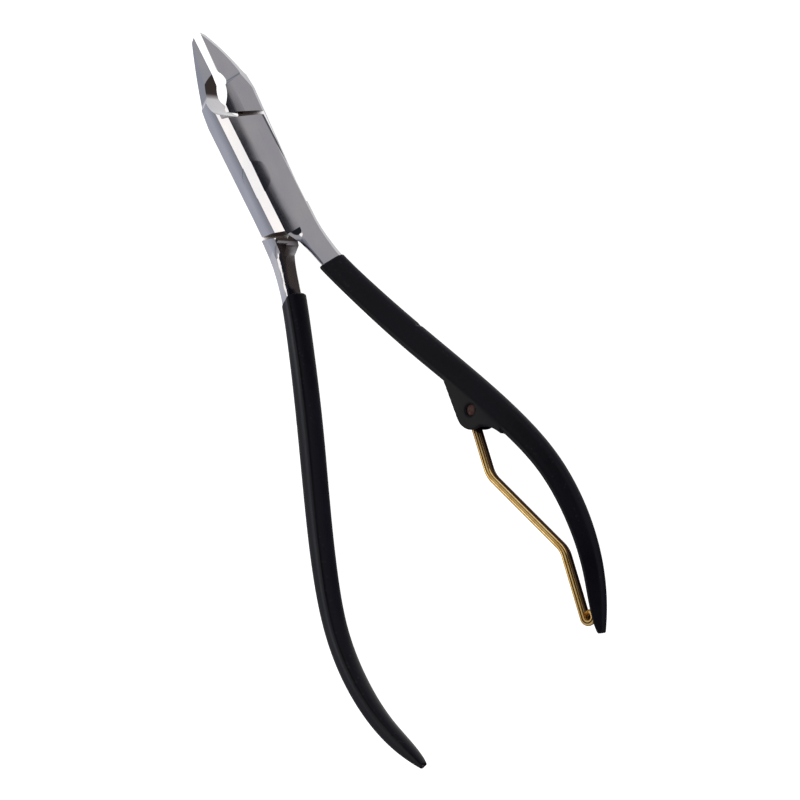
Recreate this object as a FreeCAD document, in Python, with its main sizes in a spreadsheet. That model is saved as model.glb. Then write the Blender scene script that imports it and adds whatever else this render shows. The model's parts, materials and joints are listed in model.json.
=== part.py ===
import FreeCAD, Part
import math
import os

import Sketcher
from FreeCAD import Placement, Rotation, Vector

# Cuticle nipper, in millimetres.
# Frame: +Z up, +Y from the joint towards the jaw tips. The origin is on the joint rivet's axis,
# on the flat land of the lower ridge, which is the face that the tool lies on.
# Each arm is drawn in its own closed frame: z = 0 is the plane where the two laps touch, x = 0 is
# the line where the cutting edges meet, and the arm has the left jaw and the right handle.
# The lower arm is the same arm turned over about Y.

DIMENSIONS = {
    # cross-section of the head
    "body_half_width": 4.57,
    "body_thickness": 4.5,
    "ridge_land_half_width": 0.82,
    "ridge_round_rise": 0.05,
    "slope_start_x": 2.7,
    "slope_start_z": 1.33,
    "side_edge_half_thickness": 0.22,
    # jaw
    "jaw_tip_y": 24.55,
    "jaw_shoulder_y": 12.2,
    "jaw_bulge_x": 2.62,
    "jaw_bulge_y": 18.9,
    "edge_root_y": 18.2,
    "edge_relief": 0.015,
    "mouth_half_width": 1.8,
    "mouth_mid_y": 14.8,
    "mouth_bottom_y": 11.2,
    "mouth_bottom_x": 0.3,
    "blade_start_y": 14.9,
    "blade_hollow_length": 1.1,
    "blade_hollow_depth": 0.12,
    "blade_root_half_thickness": 1.7,
    "blade_tip_half_thickness": 0.3,
    "blade_face_slope_deg": 20.9,
    "edge_bevel_deg": 41.6,
    "bevel_start_y": 16.9,
    # lap joint
    "front_shoulder_y": 10.94,
    "rear_shoulder_y": 9.25,
    "shoulder_slope_deg": 28.8,
    "shoulder_gap": 0.6,
    "lap_gap": 0.04,
    "crotch_x": 0.85,
    "neck_inner_x": 0.95,
    "neck_start_y": 9.7,
    "neck_crest_share": 0.08,
    "rest_opening_deg": 3.04,
    # joint rivet
    "rivet_radius": 1.6,
    "rivet_head_radius": 2.6,
    "rivet_seat_z": 0.9,
    "rivet_cone_height": 0.8,
    "running_clearance": 0.03,
    # handles
    "coat_thickness": 0.25,
    "coat_start_y": 16.4,
    "notch_y": 32.5,
    "notch_depth": 0.22,
    "notch_half_width": 0.55,
    # spring boss, its slot and its pin
    "boss_x": 13.87,
    "boss_y": 46.68,
    "boss_radius": 2.55,
    "boss_half_thickness": 1.55,
    "boss_slot_half_height": 0.95,
    "boss_slot_radius": 1.8,
    "boss_slot_half_width": 2.3,
    "boss_slot_direction_deg": 198.5,
    "pin_radius": 0.6,
    "pin_half_length": 1.25,
    "pin_chamfer": 0.1,
    "countersink_radius": 0.9,
    # wire spring
    "wire_diameter": 0.8,
    "wire_spacing": 0.9,
    "eye_clearance": 0.06,
    "end_eye_radius": 0.66,
}

# Stations down the bare neck, in the arm's closed frame. Each has its y, then x and z of the ends of
# the inner wall and of the inner end of each slope, above and below, then x and half thickness of
# the outer edge. The last one is where the coating starts.
NECK_STATIONS = [
    (-11.2, (1.2, 0.8), (2.6, 1.48), (1.4, -1.62), (2.4, -1.7), (4.66, 0.24)),
    (-13.3, (1.65, 0.4), (2.9, 1.5), (1.95, -1.54), (2.85, -1.6), (4.95, 0.28)),
    (-15.0, (2.1, 0.35), (3.25, 1.45), (2.55, -1.45), (3.3, -1.5), (5.28, 0.32)),
    (-16.4, (2.5, 0.35), (3.55, 1.45), (3.05, -1.38), (3.65, -1.42), (5.62, 0.36)),
]

# Stations down the handle, in the arm's closed frame:
# centre x, centre y, width, half thickness at the inner ridge, half thickness at the outer edge.
HANDLE_STATIONS = [
    (3.25, -12.6, 3.55, 1.9, 0.5),
    (4.45, -17.6, 3.5, 1.75, 0.55),
    (6.25, -22.8, 3.55, 1.65, 0.6),
    (10.05, -32.5, 3.7, 1.58, 0.65),
    (14.75, -43.4, 3.6, 1.55, 0.65),
    (17.95, -51.6, 3.45, 1.5, 0.65),
    (19.9, -58.9, 3.25, 1.45, 0.6),
    (20.15, -65.6, 3.1, 1.4, 0.6),
    (18.4, -73.8, 2.75, 1.2, 0.5),
    (16.05, -78.9, 1.85, 0.95, 0.42),
    (15.15, -80.85, 0.9, 0.6, 0.3),
]
NOTCH_STATION = 3

# Shape of a handle section, as shares of its half width or of its half thickness.
OUTER_ROUND = 0.18
FACE_RISE = 0.62
RIDGE_BACK = 0.42
INNER_WALL = 0.3

# The boss's rim, as angles about the pin, and its web, measured from the pin.
BOSS_RIM_DEG = (178.0, 224.0, 277.0)
BOSS_UPSTREAM = (-1.7, 6.0)
BOSS_HOLLOW = (1.35, -3.5)
BOSS_DOWNSTREAM = (2.45, -5.3)
BOSS_INSIDE = [(2.85, -4.6), (-1.0, 6.0)]

# The stowed spring's line, measured from its pin: its two bends, the radius of each, and the
# middle of its end eye.
SPRING_BENDS = [(-2.85, -8.13), (2.05, -22.4)]
SPRING_BEND_RADII = [3.5, 3.0]
SPRING_EYE = (0.65, -31.5)

# A length that is well outside the tool.
OUTSIDE = 30.0

doc = FreeCAD.newDocument("cuticle_nipper")
sheet = doc.addObject("Spreadsheet::Sheet", "dimensions")
for row, (alias, value) in enumerate(DIMENSIONS.items(), start=1):
    sheet.set("A%d" % row, alias)
    sheet.set("B%d" % row, str(value))
    sheet.setAlias("B%d" % row, alias)
doc.recompute()


def dim(alias):
    """A driving dimension, read from the sheet."""
    return float(sheet.get(alias))


def cell(alias):
    """The expression that names a cell of the sheet."""
    return "dimensions." + alias


def new_sketch(body, name, role):
    """A sketch on one of the body's own origin planes."""
    sketch = body.newObject("Sketcher::SketchObject", name)
    plane = next(feature for feature in body.Origin.OriginFeatures if feature.Role == role)
    sketch.AttachmentSupport = [(plane, "")]
    sketch.MapMode = "FlatFace"
    return sketch


def draw(sketch, pieces):
    """Outline of straight pieces, with two points each, and arcs, with three."""
    for piece in pieces:
        corners = [Vector(x, y, 0) for x, y in piece]
        curve = Part.LineSegment(*corners) if len(corners) == 2 else Part.Arc(*corners)
        sketch.addGeometry(curve, False)


def polygon(points):
    """The straight pieces of a closed outline."""
    return [list(side) for side in zip(points, points[1:] + points[:1])]


def draw_circle(sketch, centre, radius_expression):
    """A circle whose radius follows the sheet."""
    index = sketch.addGeometry(Part.Circle(Vector(*centre, 0), Vector(0, 0, 1), 1.0), False)
    constraint = sketch.addConstraint(Sketcher.Constraint("Radius", index, 1.0))
    sketch.setExpression("Constraints[%d]" % constraint, radius_expression)


def pocket(body, name, sketch, length=None, backwards=False):
    """A pocket of a given length, or right through both ways."""
    cut = body.newObject("PartDesign::Pocket", name)
    cut.Profile = sketch
    if length is None:
        cut.Type = "ThroughAll"
        cut.Midplane = True
    else:
        cut.Reversed = backwards
        cut.setExpression("Length", length)
    return cut


def lens_ring(body):
    """Everything outside the head's cross-section: flat ridges, rounded into straight slopes."""
    land = dim("ridge_land_half_width")
    top = dim("body_thickness") / 2
    half_width = dim("body_half_width")
    edge = dim("side_edge_half_thickness")
    slope = (dim("slope_start_x"), dim("slope_start_z"))
    rounded = ((land + slope[0]) / 2, (top + slope[1]) / 2 + dim("ridge_round_rise"))
    quarter = [[(land, top), rounded, slope], [slope, (half_width, edge)]]
    pieces = [[(-land, top), (land, top)], [(-land, -top), (land, -top)]]
    for side in (1, -1):
        pieces.append([(side * half_width, edge), (side * half_width, -edge)])
        for level in (1, -1):
            pieces += [[(side * x, level * z) for x, z in piece] for piece in quarter]
    sketch = new_sketch(body, "lens_ring", "XZ_Plane")
    draw(sketch, pieces)
    frame = [(-OUTSIDE, -OUTSIDE), (OUTSIDE, -OUTSIDE), (OUTSIDE, OUTSIDE), (-OUTSIDE, OUTSIDE)]
    draw(sketch, polygon(frame))
    return sketch


def shoulder(x, centre_y):
    """The point at x on a slanted shoulder line; it falls towards +X."""
    return (x, centre_y - x * math.tan(math.radians(dim("shoulder_slope_deg"))))


def mirrored(point):
    """The same point on the other arm."""
    return (-point[0], point[1])


def head_outline(body):
    """The jaw, the lap and the start of the neck, seen from above."""
    half = dim("body_half_width")
    relief = -dim("edge_relief")
    wall = -dim("mouth_bottom_x")
    front = dim("front_shoulder_y") - dim("shoulder_gap")
    rear = dim("shoulder_gap") - dim("rear_shoulder_y")
    neck = -dim("neck_start_y")
    jaw_bulge = (-dim("jaw_bulge_x"), dim("jaw_bulge_y"))
    tip = (relief, dim("jaw_tip_y"))
    root = (relief, dim("edge_root_y"))
    mouth = (-dim("mouth_half_width"), dim("mouth_mid_y"))
    mouth_bottom = (wall, dim("mouth_bottom_y"))
    corner = (-half, dim("jaw_shoulder_y"))
    straight = [
        mouth_bottom,
        shoulder(wall, front),
        shoulder(half, front),
        (half, neck),
        (dim("neck_inner_x"), neck),
        shoulder(dim("crotch_x"), rear),
        shoulder(-half, rear),
        corner,
    ]
    sketch = new_sketch(body, "head_outline", "XY_Plane")
    draw(sketch, [[tip, root], [root, mouth, mouth_bottom], [corner, jaw_bulge, tip]])
    draw(sketch, [list(side) for side in zip(straight, straight[1:])])
    return sketch


def lap_outline(body):
    """What is cut away below the lap plane, between the two shoulders of this side."""
    front = dim("front_shoulder_y")
    rear = -dim("rear_shoulder_y")
    sketch = new_sketch(body, "lap_outline", "XY_Plane")
    draw(sketch, polygon([
        mirrored(shoulder(OUTSIDE, front)),
        (0, front),
        (OUTSIDE, front),
        mirrored(shoulder(-OUTSIDE, rear)),
        (0, rear),
        (-OUTSIDE, rear),
    ]))
    return sketch


def blade_outline(body, level):
    """Side view of what is ground off the blade's face, with its hollow shoulder."""
    start = dim("blade_start_y")
    length = dim("blade_hollow_length")
    root_z = dim("blade_root_half_thickness")
    face = dim("body_thickness") / 2 + dim("blade_hollow_depth")
    beyond = dim("jaw_tip_y") + 1
    top = (start - length / 2, face)
    middle = (start, (face + root_z) / 2 - dim("blade_hollow_depth"))
    end = (start + length / 2, root_z)
    tip = (beyond, dim("blade_tip_half_thickness"))
    corners = [end, tip, (beyond, OUTSIDE), (top[0], OUTSIDE), top]
    pieces = [[top, middle, end]] + [list(side) for side in zip(corners, corners[1:])]
    sketch = new_sketch(body, "blade_outline", "YZ_Plane")
    fall = Rotation(Vector(1, 0, 0), -level * dim("blade_face_slope_deg"))
    sketch.AttachmentOffset = Placement(Vector(), fall)
    draw(sketch, [[(y, level * z) for y, z in piece] for piece in pieces])
    return sketch


def bevel_outline(body, level):
    """End view of the bevel that brings the blade down to its cutting edge."""
    height = dim("body_thickness")
    width = height * math.tan(math.radians(dim("edge_bevel_deg")))
    sketch = new_sketch(body, "bevel_outline", "XZ_Plane")
    sketch.AttachmentOffset = Placement(Vector(0, 0, -dim("bevel_start_y")), Rotation())
    corners = [(0, 0), (-width, height), (width, height), (width, 0)]
    draw(sketch, polygon([(x, level * z) for x, z in corners]))
    return sketch


def rivet_profile(clearance):
    """Half section of the rivet, from its axis out, grown by a clearance."""
    shank = dim("rivet_radius") + clearance
    head = dim("rivet_head_radius") + clearance
    seat = dim("rivet_seat_z")
    rim = seat + dim("rivet_cone_height")
    end = dim("body_thickness")
    return [(0, -end), (head, -end), (head, -rim), (shank, -seat),
            (shank, seat), (head, rim), (head, end), (0, end)]


def make_head(name, bore_clearance):
    """Jaw, lap and neck of one arm."""
    body = doc.addObject("PartDesign::Body", name)
    forging = body.newObject("PartDesign::Pad", "forging")
    forging.Profile = head_outline(body)
    forging.Midplane = True
    forging.setExpression("Length", cell("body_thickness"))
    pocket(body, "slopes", lens_ring(body))
    for level in (1, -1):
        pocket(body, "blade_grind", blade_outline(body, level))
    lap = pocket(body, "lap", lap_outline(body), cell("body_thickness"))
    lap.Profile[0].AttachmentOffset = Placement(Vector(0, 0, dim("lap_gap") / 2), Rotation())
    for level in (1, -1):
        pocket(body, "bevel", bevel_outline(body, level), cell("jaw_tip_y"))
    bore = body.newObject("PartDesign::Groove", "rivet_bore")
    profile = new_sketch(body, "bore_profile", "XZ_Plane")
    draw(profile, polygon(rivet_profile(bore_clearance)))
    bore.Profile = profile
    bore.ReferenceAxis = (profile, ["V_Axis"])
    bore.Angle = 360
    return body


def neck_side(y, wall, slope, edge):
    """The round crest and the flat slope of one side of the neck, from the inner wall outwards."""
    along = Vector(slope[0] - wall[0], 0, slope[1] - wall[1])
    outward = Vector(0, math.copysign(1, slope[1]), 0).cross(along) * -dim("neck_crest_share")
    wall_end, slope_end, edge_end = [Vector(x, y, z) for x, z in (wall, slope, edge)]
    crest = (wall_end + slope_end) / 2 + outward
    return [Part.Arc(wall_end, crest, slope_end).toShape(), Part.makeLine(slope_end, edge_end)]


def neck_section(station):
    """One cross-section of the neck."""
    y, wall_top, slope_top, wall_bottom, slope_bottom, (edge_x, edge_z) = station
    edges = neck_side(y, wall_top, slope_top, (edge_x, edge_z))
    edges += neck_side(y, wall_bottom, slope_bottom, (edge_x, -edge_z))
    outer_edge = ((edge_x, edge_z), (edge_x, -edge_z))
    for (top_x, top_z), (bottom_x, bottom_z) in (outer_edge, (wall_top, wall_bottom)):
        edges.append(Part.makeLine(Vector(top_x, y, top_z), Vector(bottom_x, y, bottom_z)))
    return Part.Wire(Part.__sortEdges__(edges))


def neck_loft(head):
    """The bare neck: a straight run-out from the end face of the head, then a smooth loft."""
    start = min(head.Faces, key=lambda face: face.CenterOfMass.y)
    sections = [neck_section(station) for station in NECK_STATIONS]
    run_out = Part.makeLoft([start.OuterWire, sections[0]], True, True)
    return run_out.fuse(Part.makeLoft(sections, True, False))


def centreline():
    """The handle's centre line in the closed frame."""
    curve = Part.BSplineCurve()
    curve.interpolate([Vector(station[0], station[1], 0) for station in HANDLE_STATIONS])
    return curve


def handle_section(curve, station, inset):
    """One cross-section: thin at the outer edge, with a soft ridge near the inner face."""
    x, y, width, ridge, edge = station
    centre = Vector(x, y, 0)
    along = Vector(*curve.tangent(curve.parameter(centre))[0])
    outward = Vector(0, 0, 1).cross(along)
    half = width / 2 - inset
    ridge -= inset
    edge -= inset
    upper = [
        ((1 - OUTER_ROUND) * half, edge),
        (0, edge + FACE_RISE * (ridge - edge)),
        ((RIDGE_BACK - 1) * half, ridge),
    ]
    inner_wall = [(-half, INNER_WALL * ridge), (-half, -INNER_WALL * ridge)]
    lower = [(across, -level) for across, level in reversed(upper)]
    points = [(half, 0)] + upper + inner_wall + lower
    ring = Part.BSplineCurve()
    ring.interpolate(Points=[centre + outward * across + Vector(0, 0, level)
                             for across, level in points], PeriodicFlag=True)
    return Part.Wire(ring.toShape())


def handle_loft(inset):
    """The handle as one smooth loft through its stations."""
    curve = centreline()
    sections = [handle_section(curve, station, inset) for station in HANDLE_STATIONS]
    return Part.makeLoft(sections, True, False)


def boss_plate(inset):
    """The boss for the spring pin, with the web that joins it to the handle."""
    pin = Vector(dim("boss_x"), -dim("boss_y"), 0)
    radius = dim("boss_radius") - inset
    height = dim("boss_half_thickness") - inset
    rim = [pin + Vector(radius * math.cos(math.radians(turn)), radius * math.sin(math.radians(turn)), 0)
           for turn in BOSS_RIM_DEG]
    upstream = pin + Vector(*BOSS_UPSTREAM, 0) + Vector(inset, 0, 0)
    hollow = pin + Vector(*BOSS_HOLLOW, 0) + Vector(0, inset, 0)
    downstream = pin + Vector(*BOSS_DOWNSTREAM, 0) + Vector(inset, inset, 0)
    inside = [pin + Vector(*point, 0) for point in BOSS_INSIDE]
    corners = [downstream] + inside + [upstream, rim[0]]
    sides = [Part.makeLine(start, end) for start, end in zip(corners, corners[1:])]
    outline = Part.Wire([
        Part.Arc(*rim).toShape(),
        Part.Arc(rim[-1], hollow, downstream).toShape(),
    ] + sides)
    plate = Part.Face(outline).extrude(Vector(0, 0, 2 * height))
    plate.translate(Vector(0, 0, -height))
    return plate


def boss_cavity():
    """The slot that the spring swings in, the pin's bore and its two countersinks."""
    pin = Vector(dim("boss_x"), -dim("boss_y"), 0)
    slot = dim("boss_slot_half_height")
    half = dim("boss_slot_half_width")
    face = dim("boss_half_thickness")
    eye = Part.makeCylinder(dim("boss_slot_radius"), 2 * slot, pin - Vector(0, 0, slot))
    mouth = Part.makeBox(2 * dim("boss_radius"), 2 * half, 2 * slot, Vector(0, -half, -slot))
    mouth.Placement = Placement(pin, Rotation(Vector(0, 0, 1), dim("boss_slot_direction_deg")))
    bore = Part.makeCylinder(dim("pin_radius"), 2 * face, pin - Vector(0, 0, face))
    seat = dim("pin_half_length")
    sinks = [Part.makeCone(dim("pin_radius"), dim("countersink_radius"), face - seat,
                           pin + Vector(0, 0, side * seat), Vector(0, 0, side))
             for side in (1, -1)]
    return eye.fuse([mouth, bore] + sinks)


def coated_space():
    """The space past the line where the coating starts."""
    size = 4 * OUTSIDE
    return Part.makeBox(size, size, size, Vector(-size / 2, -dim("coat_start_y") - size, -size / 2))


def notch_cutter():
    """A shallow groove across the handle's outer edge."""
    curve = centreline()
    line = Part.makeLine(Vector(-OUTSIDE, -dim("notch_y"), 0), Vector(OUTSIDE, -dim("notch_y"), 0))
    spot = curve.toShape().distToShape(line)[1][0][0]
    along = Vector(*curve.tangent(curve.parameter(spot))[0])
    outward = Vector(0, 0, 1).cross(along)
    half = HANDLE_STATIONS[NOTCH_STATION][2] / 2
    bottom = spot + outward * (half - dim("notch_depth"))
    mouth = spot + outward * (half + dim("notch_depth"))
    spread = along * (2 * dim("notch_half_width"))
    groove = Part.Face(Part.makePolygon([bottom, mouth + spread, mouth - spread, bottom]))
    cutter = groove.extrude(Vector(0, 0, 2 * OUTSIDE))
    cutter.translate(Vector(0, 0, -OUTSIDE))
    return cutter


def add_part(label, shape, placement):
    """A sub-part whose shape comes from Part's own functions."""
    feature = doc.addObject("Part::Feature", label)
    feature.Shape = shape
    feature.Placement = placement
    return feature


def make_arm(name, bore_clearance, has_boss, placement):
    """One forged arm, and the coating on its handle."""
    head = make_head(name + "_head", bore_clearance)
    doc.recompute()
    outer = handle_loft(0)
    core = handle_loft(dim("coat_thickness"))
    past = coated_space()
    steel = head.Shape.fuse([neck_loft(head.Shape), core.common(past)])
    coat = outer.common(past).cut(notch_cutter())
    if has_boss:
        cavity = boss_cavity()
        steel = steel.fuse(boss_plate(dim("coat_thickness"))).cut(cavity)
        coat = coat.fuse(boss_plate(0)).cut(cavity)
    return [add_part(name, steel, placement), add_part(name + "_coating", coat.cut(steel), placement)]


def make_rivet():
    """The joint rivet: a straight shank between two conical heads, ground flush with the ridges."""
    body = doc.addObject("PartDesign::Body", "joint_rivet")
    turned = body.newObject("PartDesign::Revolution", "turned")
    profile = new_sketch(body, "rivet_profile", "XZ_Plane")
    draw(profile, polygon(rivet_profile(0)))
    turned.Profile = profile
    turned.ReferenceAxis = (profile, ["V_Axis"])
    turned.Angle = 360
    pocket(body, "ground_flush", lens_ring(body))
    body.setExpression("Placement.Base.z", "%s / 2" % cell("body_thickness"))
    return body


def at_rest(x, y, z=0.0):
    """A point of the upper arm's closed frame, in the rest pose."""
    opening = Rotation(Vector(0, 0, 1), dim("rest_opening_deg") / 2)
    return opening.multVec(Vector(x, y, 0)) + Vector(0, 0, dim("body_thickness") / 2 + z)


def make_pin():
    """The pin that the spring swings on, pressed into both cheeks of the boss."""
    body = doc.addObject("PartDesign::Body", "spring_pin")
    sketch = new_sketch(body, "pin_circle", "XY_Plane")
    draw_circle(sketch, (0, 0), cell("pin_radius"))
    rod = body.newObject("PartDesign::Pad", "rod")
    rod.Profile = sketch
    rod.Midplane = True
    rod.setExpression("Length", "2 * %s" % cell("pin_half_length"))
    doc.recompute()
    rims = [name for name, edge in zip(["Edge%d" % (i + 1) for i in range(len(rod.Shape.Edges))],
                                       rod.Shape.Edges) if edge.Closed]
    chamfer = body.newObject("PartDesign::Chamfer", "end_chamfers")
    chamfer.Base = (rod, rims)
    chamfer.setExpression("Size", cell("pin_chamfer"))
    body.Placement = Placement(at_rest(dim("boss_x"), -dim("boss_y")), Rotation())
    return body


def rounded_path(points, radii):
    """Straight runs through the points, joined by tangent arcs at the inner ones."""
    edges = []
    start = points[0]
    for before, corner, after, radius in zip(points, points[1:], points[2:], radii):
        back = (before - corner).normalize()
        ahead = (after - corner).normalize()
        half_angle = back.getAngle(ahead) / 2
        setback = radius / math.tan(half_angle)
        centre = corner + (back + ahead).normalize() * (radius / math.sin(half_angle))
        middle = centre + (corner - centre).normalize() * radius
        edges.append(Part.makeLine(start, corner + back * setback))
        edges.append(Part.Arc(corner + back * setback, middle, corner + ahead * setback).toShape())
        start = corner + ahead * setback
    edges.append(Part.makeLine(start, points[-1]))
    return Part.Wire(edges)


def collar(ring_radius, centre):
    """Two turns of wire, one on the other, as one ring about a vertical axis."""
    wire = dim("wire_diameter") / 2
    level = dim("wire_spacing") / 2
    ends = [Vector(ring_radius + side * wire, 0, height) for side, height in
            ((-1, -level), (1, -level), (1, level), (-1, level))]
    outline = Part.Wire([
        Part.Arc(ends[0], Vector(ring_radius, 0, -level - wire), ends[1]).toShape(),
        Part.makeLine(ends[1], ends[2]),
        Part.Arc(ends[2], Vector(ring_radius, 0, level + wire), ends[3]).toShape(),
        Part.makeLine(ends[3], ends[0]),
    ])
    ring = Part.Face(outline).revolve(Vector(0, 0, 0), Vector(0, 0, 1), 360)
    ring.translate(centre)
    return ring


def make_spring():
    """The wire spring: two legs, one above the other, with an eye at each end."""
    wire = dim("wire_diameter") / 2
    level = dim("wire_spacing") / 2
    eye_radius = dim("pin_radius") + dim("eye_clearance") + wire
    first_bend, last_bend = [Vector(*point, 0) for point in SPRING_BENDS]
    swing = math.degrees(math.asin(eye_radius / first_bend.Length))
    towards_bend = first_bend / first_bend.Length
    tangent = Rotation(Vector(0, 0, 1), -swing - 90).multVec(towards_bend) * eye_radius
    end_eye = Vector(*SPRING_EYE, 0)
    stop = end_eye + (last_bend - end_eye).normalize() * dim("end_eye_radius")
    points = [tangent, first_bend, last_bend, stop]
    path = rounded_path(points, SPRING_BEND_RADII)
    heading = points[1] - points[0]
    section = Part.Wire(Part.Circle(points[0], heading, wire).toShape())
    leg = path.makePipeShell([section], True, False)
    legs = [leg.translated(Vector(0, 0, side * level)) for side in (1, -1)]
    eyes = [collar(eye_radius, Vector(0, 0, 0)), collar(dim("end_eye_radius"), end_eye)]
    print("spring leg volume ratio", leg.Volume / (path.Length * math.pi * wire * wire))
    spring = legs[0].fuse([legs[1]] + eyes)
    return add_part("wire_spring", spring, Placement(at_rest(dim("boss_x"), -dim("boss_y")), Rotation()))


def arm_placement(turned_over):
    """The rest pose of an arm: half open, and the lower arm turned over about Y."""
    half_open = dim("rest_opening_deg") / 2
    middle = Vector(0, 0, dim("body_thickness") / 2)
    opening = Rotation(Vector(0, 0, 1), -half_open if turned_over else half_open)
    flip = Rotation(Vector(0, 1, 0), 180 if turned_over else 0)
    return Placement(middle, opening.multiply(flip))


def check_and_write(parts):
    """Stop at any failed object or bad shape, then write one file for each sub-part."""
    doc.recompute()
    for item in doc.Objects:
        if {"Invalid", "Error"} & set(item.State):
            raise RuntimeError("%s failed: %s" % (item.Label, item.State))
    os.makedirs("parts", exist_ok=True)
    for part in parts:
        shape = part.Shape
        if shape.isNull() or not shape.isValid():
            raise RuntimeError("%s has no valid shape" % part.Label)
        print(part.Label, "solids", len(shape.Solids), "volume", round(shape.Volume, 2))
    for part in parts:
        part.Shape.exportStep("parts/%s.step" % part.Label)


sub_parts = make_arm("upper_arm", 0.0, True, arm_placement(False))
sub_parts += make_arm("lower_arm", dim("running_clearance"), False, arm_placement(True))
sub_parts += [make_rivet(), make_pin(), make_spring()]
check_and_write(sub_parts)
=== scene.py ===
"""Looks of the cuticle nipper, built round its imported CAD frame, in metres."""

import json
import math

import bpy
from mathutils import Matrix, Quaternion, Vector


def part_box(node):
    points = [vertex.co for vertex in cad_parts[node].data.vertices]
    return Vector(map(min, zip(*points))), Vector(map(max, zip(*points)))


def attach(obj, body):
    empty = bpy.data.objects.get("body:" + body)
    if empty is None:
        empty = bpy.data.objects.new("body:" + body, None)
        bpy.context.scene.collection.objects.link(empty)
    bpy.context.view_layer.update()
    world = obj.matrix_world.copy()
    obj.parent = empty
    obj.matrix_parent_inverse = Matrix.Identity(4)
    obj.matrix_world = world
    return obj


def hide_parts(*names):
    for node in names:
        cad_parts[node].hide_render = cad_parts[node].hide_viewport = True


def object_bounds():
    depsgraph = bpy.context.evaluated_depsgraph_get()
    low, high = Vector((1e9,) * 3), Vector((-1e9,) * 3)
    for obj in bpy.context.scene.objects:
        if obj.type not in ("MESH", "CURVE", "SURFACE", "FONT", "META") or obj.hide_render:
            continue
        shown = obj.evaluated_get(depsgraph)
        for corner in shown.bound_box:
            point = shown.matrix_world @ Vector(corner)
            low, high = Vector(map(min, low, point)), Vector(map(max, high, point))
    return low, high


MM = 0.001

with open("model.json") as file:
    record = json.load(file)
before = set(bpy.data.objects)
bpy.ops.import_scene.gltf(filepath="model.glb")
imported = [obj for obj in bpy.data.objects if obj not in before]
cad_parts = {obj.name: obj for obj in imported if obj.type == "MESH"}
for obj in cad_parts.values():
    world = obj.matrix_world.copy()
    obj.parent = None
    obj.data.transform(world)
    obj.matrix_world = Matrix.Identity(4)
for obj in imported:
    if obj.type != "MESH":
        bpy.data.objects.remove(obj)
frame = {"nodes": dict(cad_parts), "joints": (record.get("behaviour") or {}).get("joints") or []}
nodes = frame["nodes"]
joints = {joint["name"]: joint for joint in frame["joints"]}
cad_low, cad_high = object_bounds()
cad_centre = (cad_low + cad_high) / 2

# Camera: where it stands round the tool, and the point that it looks at, which is off the middle
# of the CAD box, to one side and towards the ends of the handles.
CAMERA_AZIMUTH = math.radians(57.13)
CAMERA_ELEVATION = math.radians(48.8)
CAMERA_ROLL = math.radians(-89.5)
CAMERA_DISTANCE = 0.4368
CAMERA_LENS = 150.7
CAMERA_NEAREST = 0.01
AIM = cad_centre + Vector((4.61, -10.064, 0)) * MM

# The one light: it stands across from the camera, at the camera's angle above the floor.
LIGHT_AZIMUTH = math.radians(237.6)
LIGHT_ELEVATION = CAMERA_ELEVATION
LIGHT_DISTANCE = 0.7
LIGHT_SIDE = 0.26
LIGHT_POWER = 0.27
LIGHT_COLOUR = (1.0, 0.96, 0.86)

# Room: how bright each end is at each height, from straight down at 0 to straight up at 1, and
# how far a direction has to lean towards +Y for the bright end to start and to be full.
WALLS = [(0.46, (0.50, 0.52, 0.59)), (0.54, (0.40, 0.42, 0.46)), (0.60, (0.26, 0.27, 0.29)),
         (0.70, (0.50, 0.50, 0.52)), (0.92, (0.54, 0.52, 0.52)), (0.938, (0.02, 0.022, 0.028))]
DIM_END = [(0.0, (0.06, 0.045, 0.04)), (0.38, (0.08, 0.065, 0.06))] + WALLS
BRIGHT_END = [(0.0, (1.1, 1.08, 1.02)), (0.3, (0.8, 0.8, 0.82))] + WALLS
BRIGHT_END_STARTS = 0.1
BRIGHT_END_FULL = 0.35

# Floor: half its side, and its small gap below the tool.
FLOOR_HALF = 1.2
FLOOR_GAP = 0.05 * MM

# Colours of the materials. A pair is for the darker and the lighter patches of one surface.
STEEL = ((0.50, 0.505, 0.55), (0.565, 0.555, 0.585))
SCRATCHED_STEEL = (0.22, 0.20, 0.20, 1)
# Painted shade: the dark colour laid into the crevices and gaps of the joints.
PAINTED_CREVICE_SHADE = (0.02, 0.015, 0.015, 1)
COATING = ((0.0028, 0.0026, 0.0058), (0.0045, 0.0042, 0.0095))
RUBBED_COATING = (0.012, 0.012, 0.017, 1)
BRASS = ((0.80, 0.49, 0.15), (0.98, 0.68, 0.27))
TARNISHED_BRASS = (0.30, 0.19, 0.11, 1)
# Painted shade: the darker colour of the lower leg of the wire.
SHADED_LOWER_BRASS = (0.09, 0.055, 0.035, 1)
PIN = ((0.045, 0.022, 0.02), (0.10, 0.06, 0.055))

# How far the painted shade spreads into crevices from a joint, and how far tarnish runs along the wire
# from the pin.
CREVICE_SHADE_REACH = 2.5 * MM
TARNISH_REACH = 7 * MM

# The coating's rounding: the cell of its skin, and how much and how often the skin is smoothed.
SKIN_CELL = 0.11 * MM
SKIN_SMOOTHING = 0.5
SKIN_PASSES = 10


# ---------------------------------------------------------------- camera, floor and light

def direction(azimuth, elevation):
    """Unit vector from the tool to a place round it; azimuth 0 is behind the handles, at -Y."""
    level = math.cos(elevation)
    return Vector((math.sin(azimuth) * level, -math.cos(azimuth) * level, math.sin(elevation)))


def new_object(name, data):
    """A new object in the scene."""
    made = bpy.data.objects.new(name, data)
    bpy.context.scene.collection.objects.link(made)
    return made


def aimed(name, data, away, distance):
    """A camera or a light that looks at AIM from that far away."""
    made = new_object(name, data)
    made.location = AIM + away * distance
    made.rotation_mode = "QUATERNION"
    made.rotation_quaternion = (-away).to_track_quat("-Z", "Y")
    return made


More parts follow.
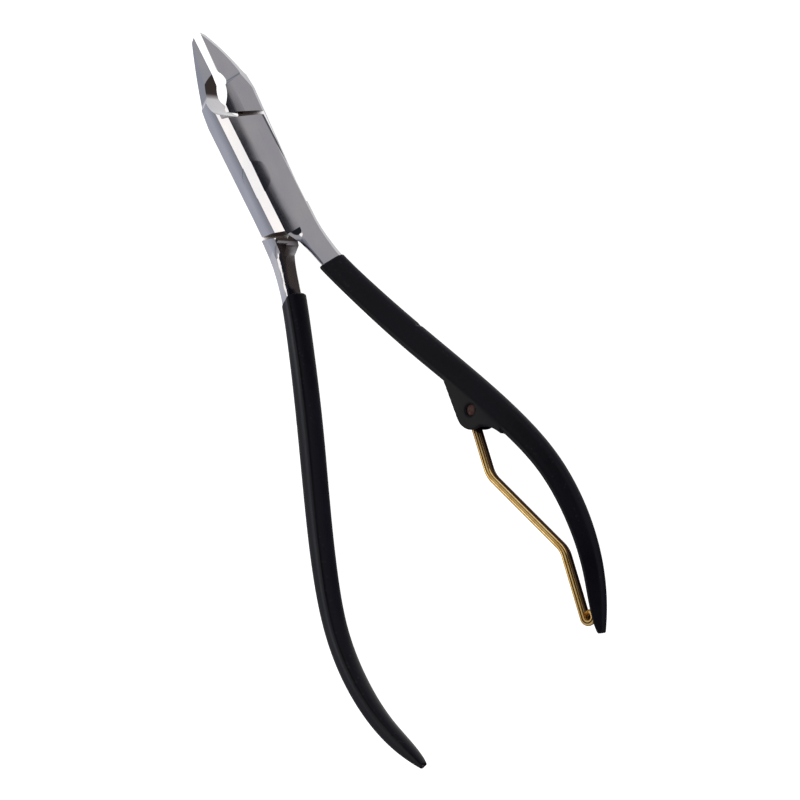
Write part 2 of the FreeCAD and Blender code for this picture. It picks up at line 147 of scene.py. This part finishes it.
def make_camera():
    """The camera at the photographed angle."""
    data = bpy.data.cameras.new("camera")
    data.lens = CAMERA_LENS
    data.clip_start = CAMERA_NEAREST
    away = direction(CAMERA_AZIMUTH, CAMERA_ELEVATION)
    camera = aimed("camera", data, away, CAMERA_DISTANCE)
    camera.rotation_quaternion = Quaternion(away, CAMERA_ROLL) @ camera.rotation_quaternion
    bpy.context.scene.camera = camera


def make_light():
    """The square soft light that runs a highlight along the tool's ridge."""
    data = bpy.data.lights.new("ridge_light", "AREA")
    data.size = LIGHT_SIDE
    data.energy = LIGHT_POWER
    data.color = LIGHT_COLOUR
    aimed("ridge_light", data, direction(LIGHT_AZIMUTH, LIGHT_ELEVATION), LIGHT_DISTANCE)


def colour_ramp(tree, factor, stops):
    """A colour ramp with (place, colour) stops."""
    node = tree.nodes.new("ShaderNodeValToRGB")
    elements = node.color_ramp.elements
    while len(elements) < len(stops):
        elements.new(0.5)
    for element, (place, colour) in zip(elements, stops):
        element.position = place
        element.color = (*colour, 1)
    tree.links.new(factor, node.inputs["Fac"])
    return node.outputs["Color"]


def mapped(tree, value, low, high):
    """A value mapped from low..high to 0..1."""
    node = tree.nodes.new("ShaderNodeMapRange")
    node.inputs["From Min"].default_value = low
    node.inputs["From Max"].default_value = high
    tree.links.new(value, node.inputs["Value"])
    return node.outputs["Result"]


def make_world():
    """A plain grey room with a dark ceiling; low down it is bright towards +Y, else dark."""
    world = bpy.data.worlds.new("studio")
    world.use_nodes = True
    tree = world.node_tree
    place = tree.nodes.new("ShaderNodeTexCoord")
    parts = tree.nodes.new("ShaderNodeSeparateXYZ")
    tree.links.new(place.outputs["Generated"], parts.inputs["Vector"])
    height = mapped(tree, parts.outputs["Z"], -1.0, 1.0)
    blend = tree.nodes.new("ShaderNodeMix")
    blend.data_type = "RGBA"
    far = mapped(tree, parts.outputs["Y"], BRIGHT_END_STARTS, BRIGHT_END_FULL)
    tree.links.new(far, blend.inputs[0])
    tree.links.new(colour_ramp(tree, height, DIM_END), blend.inputs[6])
    tree.links.new(colour_ramp(tree, height, BRIGHT_END), blend.inputs[7])
    tree.links.new(blend.outputs[2], tree.nodes["Background"].inputs["Color"])
    bpy.context.scene.world = world
    bpy.context.scene.view_settings.view_transform = "Standard"


# ---------------------------------------------------------------- materials

class Nodes:
    """A small wrapper for building a node material."""

    def __init__(self, name):
        self.material = bpy.data.materials.new(name)
        self.material.use_nodes = True
        self.tree = self.material.node_tree
        self.shader = self.tree.nodes["Principled BSDF"]

    def add(self, kind, settings=None, **inputs):
        """A node of that kind, with its settings, and its inputs as values or links."""
        node = self.tree.nodes.new("ShaderNode" + kind)
        for key, value in (settings or {}).items():
            setattr(node, key, value)
        for key, value in inputs.items():
            self.put(node, key, value)
        return node

    def put(self, node, key, value):
        """Sets an input by name or number, to a value or to another node's output."""
        index = int(key[2:]) if key.startswith("in") and key[2:].isdigit() else key.replace("_", " ")
        socket = node.inputs[index]
        if isinstance(value, bpy.types.NodeSocket):
            self.tree.links.new(value, socket)
        else:
            socket.default_value = value

    def patches(self, factor, low, high, pair):
        """A change from the first colour of a pair to the second, between two values."""
        return colour_ramp(self.tree, factor, [(low, pair[0]), (high, pair[1])])

    def grey_ramp(self, factor, stops):
        """A ramp between plain numbers."""
        return colour_ramp(self.tree, factor, [(place, (value,) * 3) for place, value in stops])

    def noise(self, scale, stretch=(1, 1, 1), detail=3.0, roughness=0.5):
        """Noise in the object's own coordinates, in cycles per millimetre along each axis."""
        where = self.add("TexCoord").outputs["Object"]
        mapping = self.add("Mapping", Vector=where, Scale=[scale / MM * part for part in stretch])
        texture = self.add("TexNoise", Vector=mapping.outputs["Vector"], Scale=1.0,
                           Detail=detail, Roughness=roughness)
        return texture.outputs["Fac"]

    def bump(self, height, distance, normal=None):
        """A bump of that real height."""
        node = self.add("Bump", Height=height, Distance=distance, Strength=1.0)
        if normal is not None:
            self.put(node, "Normal", normal)
        return node.outputs["Normal"]

    def edges(self, low, high):
        """From 0 on flats to 1 on sharp outer edges."""
        pointiness = self.add("NewGeometry").outputs["Pointiness"]
        return self.grey_ramp(pointiness, [(low, 0.0), (high, 1.0)])

    def mix(self, factor, first, second):
        """A mix of two colours."""
        node = self.add("Mix", {"data_type": "RGBA"}, in0=factor, in6=first, in7=second)
        return node.outputs[2]

    def finish(self, **inputs):
        """Sets the shader's own inputs and returns the material."""
        for key, value in inputs.items():
            self.put(self.shader, key, value)
        return self.material


def polished_steel():
    """Ground and polished steel: fine lines along the tool, faint smears, and painted shade darkening
    the crevices of the joints.
    """
    n = Nodes("polished_steel")
    lines = n.noise(scale=14.0, stretch=(1.0, 0.03, 1.0), detail=4.0, roughness=0.6)
    smears = n.noise(scale=0.35, stretch=(1.0, 0.5, 1.0), detail=2.0)
    tint = n.patches(smears, low=0.3, high=0.7, pair=STEEL)
    scratches = n.noise(scale=2.2, stretch=(1.0, 0.12, 1.0), detail=6.0, roughness=0.7)
    scratched = n.mix(n.grey_ramp(scratches, [(0.66, 0.0), (0.74, 0.45)]), tint, SCRATCHED_STEEL)
    # Painted shade: ambient occlusion darkens the steel in crevices and gaps between parts.
    crevice = n.add("AmbientOcclusion", Distance=CREVICE_SHADE_REACH).outputs["AO"]
    unshaded = n.grey_ramp(crevice, [(0.3, 0.0), (0.65, 1.0)])
    colour = n.mix(unshaded, PAINTED_CREVICE_SHADE, scratched)
    gloss = n.grey_ramp(lines, [(0.3, 0.07), (0.7, 0.13)])
    fine = n.bump(lines, distance=0.0012 * MM)
    wavy = n.bump(smears, distance=0.01 * MM, normal=fine)
    return n.finish(Base_Color=colour, Metallic=1.0, Roughness=gloss, Normal=wavy)


def black_coating():
    """Satin black dipped coating, slightly uneven, with rubbed edges."""
    n = Nodes("black_coating")
    grain = n.noise(scale=6.0, detail=3.0)
    smears = n.noise(scale=0.25, stretch=(1.0, 0.4, 1.0), detail=3.0)
    tint = n.patches(smears, low=0.3, high=0.7, pair=COATING)
    worn = n.mix(n.edges(low=0.54, high=0.62), tint, RUBBED_COATING)
    gloss = n.grey_ramp(smears, [(0.3, 0.34), (0.7, 0.46)])
    return n.finish(Base_Color=worn, Roughness=gloss, Specular_IOR_Level=0.2,
                    Normal=n.bump(grain, distance=0.0015 * MM))


def brass_wire(low, high, pin_y):
    """Drawn brass wire: bright on the upper leg, darkened by painted shade on the lower one, and
    tarnished near the pin.
    """
    n = Nodes("brass_wire")
    where = n.add("SeparateXYZ", Vector=n.add("TexCoord").outputs["Object"])
    height = mapped(n.tree, where.outputs["Z"], low, high)
    from_pin = mapped(n.tree, where.outputs["Y"], pin_y, pin_y - TARNISH_REACH)
    lines = n.noise(scale=9.0, stretch=(1.0, 0.08, 1.0), detail=3.0)
    patches = n.noise(scale=0.7, detail=3.0)
    brass = n.patches(patches, low=0.3, high=0.65, pair=BRASS)
    dulled = n.mix(from_pin, TARNISHED_BRASS, brass)
    # Painted shade: the wire turns darker towards its lower leg, by height.
    upper = n.grey_ramp(height, [(0.42, 0.0), (0.56, 1.0)])
    colour = n.mix(upper, SHADED_LOWER_BRASS, dulled)
    gloss = n.grey_ramp(patches, [(0.25, 0.3), (0.7, 0.18)])
    return n.finish(Base_Color=colour, Metallic=1.0, Roughness=gloss,
                    Normal=n.bump(lines, distance=0.002 * MM))


def pin_steel():
    """The spring pin: dark steel with a warm brown bloom."""
    n = Nodes("pin_steel")
    bloom = n.noise(scale=2.0, detail=3.0)
    tint = n.patches(bloom, low=0.3, high=0.7, pair=PIN)
    return n.finish(Base_Color=tint, Metallic=1.0, Roughness=0.42,
                    Normal=n.bump(bloom, distance=0.004 * MM))


def paper_floor():
    """A pale sheet lit from below, so that it stays nearly free of shadow."""
    n = Nodes("paper_floor")
    fibre = n.noise(scale=0.8, detail=4.0)
    tint = n.grey_ramp(fibre, [(0.3, 0.90), (0.7, 0.93)])
    return n.finish(Base_Color=tint, Roughness=0.9, Emission_Color=(1, 1, 1, 1), Emission_Strength=0.95)


def use(node, material):
    """Gives a carried-over CAD node its material."""
    mesh = nodes[node].data
    mesh.materials.clear()
    mesh.materials.append(material)


def soften(node):
    """Rounds a coating all over, as a dipped skin is, and runs its boss smoothly into the handle."""
    skin = nodes[node].modifiers.new("skin", "REMESH")
    skin.mode = "VOXEL"
    skin.voxel_size = SKIN_CELL
    skin.use_smooth_shade = True
    flow = nodes[node].modifiers.new("flow", "SMOOTH")
    flow.factor = SKIN_SMOOTHING
    flow.iterations = SKIN_PASSES


# ---------------------------------------------------------------- the spring and its pin

# The spring's line in the closed tool, from its pin: two bends, their radii and the end eye. The
# line turns with the arm that holds it, by half of the tool's opening.
SPRING_BENDS = [Vector((-2.85, -8.13, 0)) * MM, Vector((2.05, -22.4, 0)) * MM]
SPRING_BEND_RADII = [3.5 * MM, 3.0 * MM]
SPRING_END = Vector((0.65, -31.5, 0)) * MM
HALF_OPEN = math.radians(1.52)

# The wire: its share of the spring's height, its two eyes, how far it goes round the pin, and the
# steps of its eyes and of its bends.
WIRE_SHARE = 0.8 / 1.7
EYE_RADIUS = 1.06 * MM
END_EYE_RADIUS = 0.66 * MM
PIN_TURN = math.radians(335)
EYE_STEP = math.radians(12)
BEND_STEPS = 12

# The pin's heads: their radius as a share of the pin's, the heights of rim and dome, the angles
# of the dome's rings, and how many sides a ring has.
PIN_HEAD_SPREAD = 1.3
PIN_HEAD_RIM = 0.08 * MM
PIN_HEAD_DOME = 0.08 * MM
PIN_DOME_DEG = (27, 54, 76, 86)
PIN_SIDES = 48


def rounded(points, radii):
    """The points of a line whose inner corners are rounded by arcs."""
    line = [points[0]]
    for before, corner, after, radius in zip(points, points[1:], points[2:], radii):
        back = (before - corner).normalized()
        ahead = (after - corner).normalized()
        half_angle = back.angle(ahead) / 2
        centre = corner + (back + ahead).normalized() * (radius / math.sin(half_angle))
        start = corner + back * (radius / math.tan(half_angle)) - centre
        end = corner + ahead * (radius / math.tan(half_angle)) - centre
        turn = start.rotation_difference(end)
        for step in range(BEND_STEPS + 1):
            part = Quaternion(turn.axis, turn.angle * step / BEND_STEPS)
            line.append(centre + part @ start)
    return line + [points[-1]]


def turn_of_wire(centre, radius, start, sweep, drop=0.0):
    """Points along part of a turn about a vertical axis, which may drop as it goes round."""
    steps = math.ceil(sweep / EYE_STEP)
    points = []
    for step in range(steps + 1):
        share = step / steps
        angle = start + sweep * share
        arm = Vector((radius * math.cos(angle), radius * math.sin(angle), -drop * share))
        points.append(centre + arm)
    return points


def touch_angle(centre, radius, target, side):
    """Where on a circle the straight line from target touches it."""
    towards = target - centre
    return math.atan2(towards.y, towards.x) + side * math.acos(radius / towards.length)


def make_spring(material):
    """The wire spring: two legs, one above the other, with an eye at each end."""
    low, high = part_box("wire_spring")
    wire = (high.z - low.z) * WIRE_SHARE
    spacing = high.z - low.z - wire
    pin = Vector(joints["spring_swing"]["pos_m"])
    opening = Quaternion((0, 0, 1), HALF_OPEN)
    bends = [pin + opening @ bend for bend in SPRING_BENDS]
    end = pin + opening @ SPRING_END
    leave = touch_angle(pin, EYE_RADIUS, bends[0], -1)
    arrive = touch_angle(end, END_EYE_RADIUS, bends[1], 1)
    pin_eye = turn_of_wire(pin, EYE_RADIUS, leave - PIN_TURN, PIN_TURN)
    touch = turn_of_wire(end, END_EYE_RADIUS, arrive, EYE_STEP)
    flat = pin_eye[:-1] + rounded([pin_eye[-1]] + bends + [touch[0]], SPRING_BEND_RADII)
    end_eye = turn_of_wire(end, END_EYE_RADIUS, arrive, 2 * math.pi, spacing)[1:]
    rise = Vector((0, 0, spacing / 2))
    curve = bpy.data.curves.new("spring_wire", "CURVE")
    curve.dimensions = "3D"
    curve.bevel_depth = wire / 2
    curve.bevel_resolution = 6
    curve.use_fill_caps = True
    upper = [point + rise for point in flat + end_eye]
    lower = [point - rise for point in flat + touch[1:]]
    for path in (upper, lower):
        spline = curve.splines.new("POLY")
        spline.points.add(len(path) - 1)
        for point, place in zip(spline.points, path):
            point.co = (*place, 1)
    curve.materials.append(material)
    spring = new_object("spring_wire", curve)
    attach(spring, "spring")
    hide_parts("wire_spring")


def lathed(name, profile, centre, material):
    """A turned piece, from the radius and height of each point of its profile."""
    points = []
    for radius, height in profile:
        for step in range(PIN_SIDES):
            angle = 2 * math.pi * step / PIN_SIDES
            points.append((radius * math.cos(angle), radius * math.sin(angle), height))
    top = len(points) - PIN_SIDES
    faces = [tuple(range(PIN_SIDES))[::-1], tuple(range(top, len(points)))]
    for ring in range(0, top, PIN_SIDES):
        next_ring = ring + PIN_SIDES
        for step in range(PIN_SIDES):
            after = (step + 1) % PIN_SIDES
            faces.append((ring + step, ring + after, next_ring + after, next_ring + step))
    mesh = bpy.data.meshes.new(name)
    mesh.from_pydata(points, [], faces)
    mesh.shade_smooth()
    mesh.materials.append(material)
    piece = new_object(name, mesh)
    piece.location = centre
    return piece


def make_pin(material):
    """The spring's pin, with both ends peened into low domes."""
    low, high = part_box("spring_pin")
    radius = (high.x - low.x) / 2
    half = (high.z - low.z) / 2
    head = radius * PIN_HEAD_SPREAD
    rim = half + PIN_HEAD_RIM
    upper = [(radius, half - (head - radius)), (head, rim)]
    for degrees in PIN_DOME_DEG:
        angle = math.radians(degrees)
        upper.append((head * math.cos(angle), rim + PIN_HEAD_DOME * math.sin(angle)))
    lower = [(across, -height) for across, height in reversed(upper)]
    pin = lathed("peened_pin", lower + upper, (low + high) / 2, material)
    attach(pin, "boss_arm")
    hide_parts("spring_pin")


# ---------------------------------------------------------------- the scene

def make_floor(material):
    """The plain floor that the tool lies on."""
    mesh = bpy.data.meshes.new("floor")
    half = FLOOR_HALF
    corners = [(-half, -half, 0), (half, -half, 0), (half, half, 0), (-half, half, 0)]
    mesh.from_pydata(corners, [], [(0, 1, 2, 3)])
    floor = new_object("floor", mesh)
    floor.location.z = cad_low.z - FLOOR_GAP
    mesh.materials.append(material)
    floor.visible_glossy = False


make_camera()
make_world()
make_floor(paper_floor())
make_light()

steel = polished_steel()
coating = black_coating()
for node in ("upper_arm", "lower_arm", "joint_rivet"):
    use(node, steel)
for node in ("upper_arm_coating", "lower_arm_coating"):
    use(node, coating)
    soften(node)
wire_low, wire_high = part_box("wire_spring")
make_spring(brass_wire(wire_low.z, wire_high.z, joints["spring_swing"]["pos_m"][1]))
make_pin(pin_steel())
